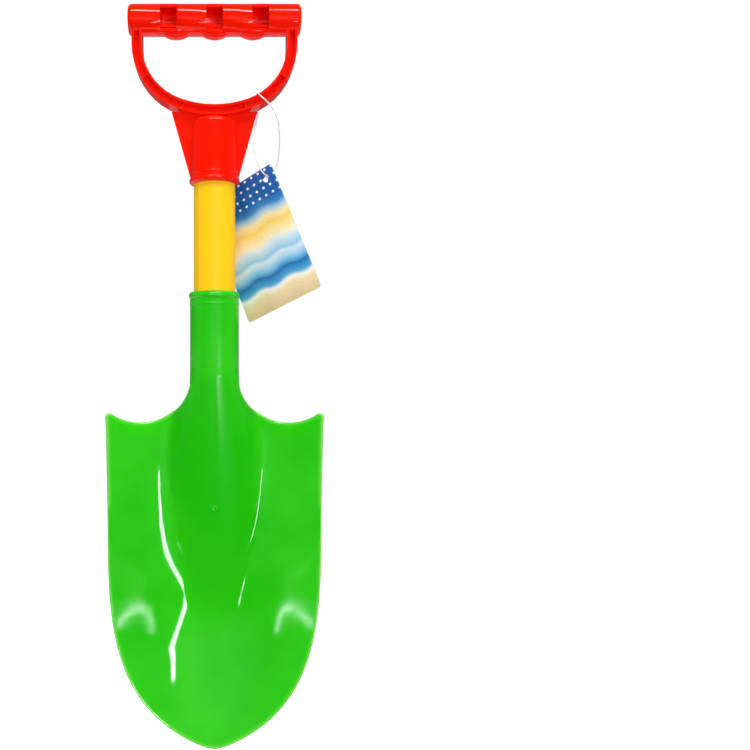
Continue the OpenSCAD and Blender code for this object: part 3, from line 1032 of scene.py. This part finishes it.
@dataclass
class HangTag:
    """Printed card with rounded corners, hung by a hole near its upper corner."""

    printed: PrintedCard
    bare: BareCard
    width: float = CARD_MM[0]
    height: float = CARD_MM[1]
    thickness: float = 0.5
    corner_r: float = 2.0
    hole_d: float = 5.0
    hole_side: float = 6.5
    hole_top: float = 7.0
    turn_deg: float = CARD_TURN_DEG
    hang_deg: float = 23.5
    thread_at: tuple[float, float, float] = THREAD_AT
    filament_d: float = FILAMENT_MM
    thread_fit: float = 0.04
    edge_r: float = 0.1

    def outline(self, inset: float) -> np.ndarray:
        """Outline of the card about its hole, set in by a margin.

        Args:
            inset: The margin.

        Returns:
            x and z of each point, once round.
        """
        r = self.corner_r
        right, top = self.hole_side - r, self.hole_top - r
        left, low = right - self.width + 2 * r, top - self.height + 2 * r
        points: list[tuple[float, float]] = []
        for quarter, middle in enumerate(((right, top), (left, top), (left, low), (right, low))):
            points += arc(middle, r - inset, 90 * quarter, 90 * quarter + 90, 10)
        return np.array(points)

    def build(self) -> bpy.types.Object:
        """Builds the card about its hole, hangs it and dresses it.

        Returns:
            The card.
        """
        shell = Shell()
        edge = self.outline(self.edge_r)
        angles = np.arctan2(edge[:, 1], edge[:, 0])
        half_t = self.thickness / 2

        def ring(points: np.ndarray, y: float) -> np.ndarray:
            """Adds a ring of points at one depth."""
            return shell.add(np.stack([points[:, 0], np.full(len(points), y), points[:, 1]], axis=-1))

        def hole(r: float) -> np.ndarray:
            """Points of the hole, in the directions of the outline's points."""
            return r * np.stack([np.cos(angles), np.sin(angles)], axis=-1)

        hole_r, straight = self.hole_d / 2, half_t - self.edge_r
        levels = ((-half_t, self.edge_r), (-straight, 0.0), (straight, 0.0), (half_t, self.edge_r))
        rings = [ring(self.outline(inset), y) for y, inset in levels]
        rings += [ring(hole(hole_r + grow), y) for y, grow in reversed(levels)]
        rings.append(rings[0])
        shell.net(np.array(rings), closed=True)
        piece = shell.to_object("card_tag")
        mesh = piece.data
        sheet = mesh.uv_layers.new(name="print")
        low_x, low_z = self.hole_side - self.width, self.hole_top - self.height
        for loop in mesh.loops:
            x, _, z = mesh.vertices[loop.vertex_index].co / MM
            sheet.data[loop.index].uv = ((x - low_x) / self.width, (z - low_z) / self.height)
        dress(piece, self.printed.material(), self.bare.material())
        # Only the front is printed
        for face in mesh.polygons:
            face.material_index = 0 if face.normal.y < -0.9 else 1
        drop = self.hole_d / 2 - self.filament_d / 2 - self.thread_fit
        at = Vector(self.thread_at) - Vector((0, 0, drop))
        piece.matrix_world = (
            Matrix.Translation(at * MM)
            @ Matrix.Rotation(-math.radians(self.turn_deg), 4, "Z")
            @ Matrix.Rotation(-math.radians(self.hang_deg), 4, "Y")
        )
        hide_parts("hang_tag")
        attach(piece, Body.TAG.value)
        return piece


@dataclass
class FilamentLoop:
    """Nylon filament from its lock through the card, round the frame's bar and back, and the lock head."""

    finish: DrawnNylon
    diameter: float = FILAMENT_MM
    thread_at: tuple[float, float, float] = THREAD_AT
    turn_deg: float = CARD_TURN_DEG
    # How far it stands straight out of the card's front, and the gap from the card to the lock behind it
    lead: float = 2.2
    lock_gap: float = 1.5
    lock_l: float = 5.0
    lock_d: float = 3.4
    collar_d: float = 4.4
    # Places on the way from the card up behind the bar, over it, down its front and round to the lock
    way: tuple[tuple[float, float, float], ...] = (
        (29, -3.9, -94), (27.2, -4.5, -91), (25.6, -4.2, -86.5), (24.5, -3.4, -81),
        (24.2, -2, -75), (24.8, 0.4, -69), (25.8, 3.4, -63), (26.8, 6.2, -57.5),
        (27.1, 7.2, -52.9), (26.7, 7.2, -49.8), (26.3, 6.75, -47.1), (26.2, 4, -46.9),
        (26.2, 0, -46.9), (26.2, -4, -46.9), (26.3, -6.75, -47.1), (28.4, -7.2, -49.2),
        (31, -7.2, -51.6), (34, -7, -54.4), (36.8, -6, -58.4), (39, -4.2, -63.8),
        (40, -1.6, -70), (40.3, 1.4, -76), (40, 4.4, -82), (39.2, 7, -87.4),
        (38, 8, -92), (36.9, 7.4, -94.9),
    )

    def back(self) -> np.ndarray:
        """Direction out of the card's back."""
        turn = math.radians(self.turn_deg)
        return np.array([math.sin(turn), math.cos(turn), 0.0])

    def line(self) -> np.ndarray:
        """Middle line of the filament, from the lock's near end round to its far one.

        Returns:
            The line's points, in millimetres.
        """
        at, back = np.array(self.thread_at), self.back()
        ends = at + back * (self.lock_gap + self.lock_l)
        route = [at + back * self.lock_gap, at, at - back * self.lead, *np.array(self.way), ends]
        return through(route, 8)

    def build_strand(self) -> bpy.types.Object:
        """Builds the filament as a round curve.

        Returns:
            The filament.
        """
        curve = bpy.data.curves.new("filament_loop", "CURVE")
        curve.dimensions = "3D"
        curve.bevel_depth = self.diameter / 2 * MM
        curve.bevel_resolution = 3
        curve.use_fill_caps = True
        points = self.line() * MM
        spline = curve.splines.new("POLY")
        spline.points.add(len(points) - 1)
        spline.points.foreach_set("co", np.hstack([points, np.ones((len(points), 1))]).ravel())
        spline.use_smooth = True
        piece = bpy.data.objects.new("filament_loop", curve)
        bpy.context.scene.collection.objects.link(piece)
        return piece

    def build_lock(self) -> bpy.types.Object:
        """Builds the lock head: a barrel with a collar, rounded edges and a mouth for the filament's end.

        Returns:
            The lock head.
        """
        r, rim, length = self.lock_d / 2, self.collar_d / 2, self.lock_l
        step = length * 0.75
        # Mouth, foot, barrel, step up to the collar, collar and the mouth at its end, as radius and height
        profile = [(0.5, 0.35), (0.75, 0.0)]
        profile += arc((r - 0.3, 0.3), 0.3, -90, 0, 4)
        profile += [(r, step - 0.25), (r + 0.07, step - 0.07), (r + 0.25, step)]
        profile += arc((rim - 0.25, step + 0.25), 0.25, -90, 0, 4)
        profile += arc((rim - 0.35, length - 0.35), 0.35, 0, 90, 4)
        profile += [(0.8, length), (0.5, length - 0.4)]
        shell = Shell()
        start = Vector(self.thread_at) + Vector(self.back()) * self.lock_gap
        place = Matrix.Translation(start) @ Vector(self.back()).to_track_quat("Z", "Y").to_matrix().to_4x4()
        shell.turned(np.array(profile), 48, place)
        return shell.to_object("filament_lock")

    def build(self) -> tuple[bpy.types.Object, bpy.types.Object]:
        """Returns:
            The filament and its lock head.
        """
        strand, lock = self.build_strand(), self.build_lock()
        material = self.finish.material()
        for piece, node in ((strand, "tag_loop"), (lock, "loop_lock")):
            dress(piece, material)
            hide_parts(node)
            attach(piece, Body.LOOP.value)
        return strand, lock


@dataclass(frozen=True)
class SoftBox:
    """One lamp of the studio, in metres and watts, turned to the point it is aimed at."""

    name: str
    at: tuple[float, float, float]
    aim: tuple[float, float, float]
    size: tuple[float, float]
    watts: float
    roll_deg: float = 0.0
    # False for a fill that leaves no gloss of its own
    shines: bool = True

    def hang(self) -> None:
        """Hangs the lamp."""
        data = bpy.data.lights.new(self.name, "AREA")
        data.shape = "RECTANGLE"
        data.size, data.size_y = self.size
        data.energy = self.watts
        lamp = bpy.data.objects.new(self.name, data)
        lamp.location = self.at
        lamp.visible_glossy = self.shines
        facing = (Vector(self.aim) - Vector(self.at)).to_track_quat("-Z", "Y")
        lamp.rotation_euler = (facing @ Quaternion((0, 0, 1), math.radians(self.roll_deg))).to_euler()
        bpy.context.scene.collection.objects.link(lamp)


MIDDLE = (0.0, 0.0, -0.2)
DISH = (0.0, 0.0, -0.35)
LAMPS = (
    # The key lights the front and draws the thin line along the grip
    SoftBox("key_strip", (0.05, -0.80, 1.1), MIDDLE, (1.4, 0.22), 18),
    # Fills, so that no side is dark
    SoftBox("front_fill", (0.3, -1.6, 0.1), MIDDLE, (1.0, 1.0), 8, shines=False),
    SoftBox("back_box", (0.1, 0.8, 1.2), MIDDLE, (1.2, 0.7), 13, shines=False),
    SoftBox("back_fill", (-0.3, 1.6, 0.1), MIDDLE, (1.0, 1.0), 9, shines=False),
    SoftBox("left_fill", (-1.7, -0.35, 0.0), MIDDLE, (0.8, 0.8), 6.5, shines=False),
    SoftBox("right_fill", (1.7, -0.35, 0.0), MIDDLE, (0.8, 0.8), 4, shines=False),
    # The long streak left of the spine: its ends, then its middle with the lights on crest and right flank
    SoftBox("side_strip", (0.95, -2.08, -0.74), DISH, (0.12, 0.18), 3.0),
    SoftBox("slant_strip", (0.78, -2.15, -1.045), DISH, (0.74, 0.10), 7, roll_deg=37),
    # The lower end of the streak on the right
    SoftBox("low_spot", (-0.36, -2.26, -1.30), DISH, (0.06, 0.06), 0.35),
    # The forked lights, each on the wing across from its lamp
    SoftBox("right_spot", (1.250, -1.885, -1.091), DISH, (0.012, 0.185), 0.16),
    SoftBox("left_spot", (-1.250, -1.885, -1.091), DISH, (0.012, 0.185), 0.14),
)


@dataclass
class Studio:
    """White sweep, soft light and the camera of a plain product picture."""

    # Camera straight in front of the shovel's axis, found from the outline's fit
    distance: float = 0.46
    eye_z: float = -0.200
    # Pixel row of the grip's axis, pixel column of the shovel's axis, and the scale
    grip_px: float = 20.5
    axis_px: float = 214.5
    px_per_mm: float = 1.6197
    sensor_mm: float = 36.0
    floor_z: float = -0.70
    floor_half: float = 6.0
    # The floor ends a little in front of the shovel, which leaves the way free for the low lamps
    floor_front: float = -0.25
    floor_paint: str = "#dcdcdc"
    # What lifts the floor to white where it is seen, and the share of that in the gloss
    floor_lift: float = 0.8
    floor_shine: float = 0.2
    white: str = "#ffffff"
    room_strength: float = 0.30
    # What the gloss shows in front: sine of the height angle and strength, with a bright band below eye level
    band: tuple[tuple[float, float], ...] = (
        (-1.0, 0.03),
        (-0.36, 0.03),
        (-0.18, 0.7),
        (0.02, 0.6),
        (0.12, 0.08),
        (1.0, 0.06),
    )
    # Share of the band left at the sides, and strength behind, each with the sines it comes in between
    side_share: float = 0.2
    side_range: tuple[float, float] = (0.2, 0.65)
    back_share: float = 0.12
    back_range: tuple[float, float] = (-0.3, 0.4)

    def camera(self) -> None:
        """Sets the camera so that the shovel stands where the picture has it."""
        data = bpy.data.cameras.new("picture_camera")
        data.sensor_width = self.sensor_mm
        focal_px = self.px_per_mm / MM * self.distance
        data.lens = self.sensor_mm * focal_px / PHOTO_PX
        data.shift_x = (PHOTO_PX / 2 - self.axis_px) / PHOTO_PX
        camera = bpy.data.objects.new("picture_camera", data)
        centre_z = (self.grip_px - PHOTO_PX / 2) / self.px_per_mm * MM
        data.shift_y = (centre_z - self.eye_z) * self.px_per_mm / MM / PHOTO_PX
        camera.location = (0, -self.distance, self.eye_z)
        camera.rotation_euler = (math.pi / 2, 0, 0)
        bpy.context.scene.collection.objects.link(camera)
        bpy.context.scene.camera = camera

    def floor(self) -> None:
        """Lays the pale floor, white to the eye and still holding the shadow."""
        mesh = bpy.data.meshes.new("studio_floor")
        half, front = self.floor_half, self.floor_front
        corners = [(-half, front), (half, front), (half, half), (-half, half)]
        mesh.from_pydata([(x, y, self.floor_z) for x, y in corners], [], [(0, 1, 2, 3)])
        piece = bpy.data.objects.new("studio_floor", mesh)
        bpy.context.scene.collection.objects.link(piece)
        material, tree = new_material("white_painted_floor")
        rays = add_node(tree, "LightPath")
        mirrored = add_node(
            tree,
            "Math",
            {0: rays.outputs["Is Glossy Ray"], 1: rays.outputs["Is Transmission Ray"]},
            operation="MAXIMUM",
        )
        dimmed = add_node(tree, "Math", {0: mirrored.outputs[0], 1: self.floor_shine}, operation="MULTIPLY")
        seen = add_node(
            tree, "Math", {0: rays.outputs["Is Camera Ray"], 1: dimmed.outputs[0]}, operation="MAXIMUM"
        )
        lift = add_node(tree, "Math", {0: seen.outputs[0], 1: self.floor_lift}, operation="MULTIPLY")
        glow = add_node(tree, "Emission", {"Color": linear(self.white), "Strength": lift.outputs[0]})
        paint = add_node(tree, "BsdfDiffuse", {"Color": linear(self.floor_paint)})
        whole = add_node(tree, "AddShader", {0: paint.outputs[0], 1: glow.outputs[0]})
        add_node(tree, "OutputMaterial", {"Surface": whole.outputs[0]})
        dress(piece, material)

    def world(self) -> None:
        """Makes the room: white where it is seen, soft as light, and dim in the gloss but for a band."""
        world = bpy.data.worlds.new("studio_room")
        bpy.context.scene.world = world
        world.use_nodes = True
        tree = world.node_tree
        tree.nodes.clear()
        rays = add_node(tree, "LightPath")
        toward = add_node(tree, "SeparateXYZ", {0: add_node(tree, "TexCoord").outputs["Generated"]})
        height = add_node(tree, "MapRange", {"Value": toward.outputs["Z"], "From Min": -1.0, "From Max": 1.0})
        band = add_node(tree, "ValToRGB", {"Fac": height.outputs["Result"]})
        stops = band.color_ramp.elements
        while len(stops) < len(self.band):
            stops.new(1.0)
        for stop, (rise, strength) in zip(stops, self.band):
            stop.position = (rise + 1) / 2
            stop.color = (strength, strength, strength, 1.0)
        aside = add_node(tree, "Math", {0: toward.outputs["X"]}, operation="ABSOLUTE")
        fade = add_node(
            tree,
            "MapRange",
            {
                "Value": aside.outputs[0],
                "From Min": self.side_range[0],
                "From Max": self.side_range[1],
                "To Min": 1.0,
                "To Max": self.side_share,
            },
        )
        front = add_node(
            tree, "Math", {0: band.outputs["Color"], 1: fade.outputs["Result"]}, operation="MULTIPLY"
        )
        shine = add_node(
            tree,
            "MapRange",
            {
                "Value": toward.outputs["Y"],
                "From Min": self.back_range[0],
                "From Max": self.back_range[1],
                "To Min": front.outputs[0],
                "To Max": self.back_share,
            },
        )
        white = linear(self.white)
        light = add_node(tree, "Background", {"Color": white, "Strength": self.room_strength})
        mirrored = add_node(tree, "Background", {"Color": white, "Strength": shine.outputs["Result"]})
        seen = add_node(tree, "Background", {"Color": white, "Strength": 1.0})
        shiny = add_node(
            tree,
            "Math",
            {0: rays.outputs["Is Glossy Ray"], 1: rays.outputs["Is Transmission Ray"]},
            operation="MAXIMUM",
        )
        unseen = add_node(
            tree, "MixShader", {0: shiny.outputs[0], 1: light.outputs[0], 2: mirrored.outputs[0]}
        )
        whole = add_node(
            tree, "MixShader", {0: rays.outputs["Is Camera Ray"], 1: unseen.outputs[0], 2: seen.outputs[0]}
        )
        add_node(tree, "OutputWorld", {"Surface": whole.outputs[0]})

    def build(self) -> None:
        """Sets up floor, room and lamps."""
        self.floor()
        self.world()
        for lamp in LAMPS:
            lamp.hang()
        bpy.context.scene.view_settings.view_transform = "Standard"


# In each moulded finish the pale colour is the painted edge highlight and the core colour the painted shade
# of the spine
RED = MouldedPolypropylene(
    "moulded_red_polypropylene", colour="#ff1a02", deep="#f81602", edge_highlight="#fa5a48", spine_shade="#f81602"
)
GREEN = MouldedPolypropylene(
    "moulded_green_polypropylene", colour="#2fc814", deep="#22bb0b", edge_highlight="#7fdc55", spine_shade="#1abb05"
)
YELLOW = ExtrudedTubePlastic("drawn_yellow_polyethylene", colour="#ffca00", deep="#fcc200")
NYLON = DrawnNylon("drawn_clear_nylon", colour="#ffffff", deep="#f4f5f6")
PRINT = PrintedCard("varnished_offset_print")
CARD = BareCard("uncoated_card")


def main() -> None:
    """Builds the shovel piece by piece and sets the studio."""
    logging.basicConfig(level=logging.INFO, format="%(message)s")
    studio = Studio()
    studio.camera()
    card = HangTag(PRINT, CARD).build()
    strand, lock = FilamentLoop(NYLON).build()
    blade = Blade(GREEN).build()
    shaft = Shaft(YELLOW).build()
    handle = Handle(RED).build()
    studio.build()
    for piece in (card, strand, lock, blade, shaft, handle):
        LOG.info("built %s", piece.name)


if __name__ == "__main__":
    main()
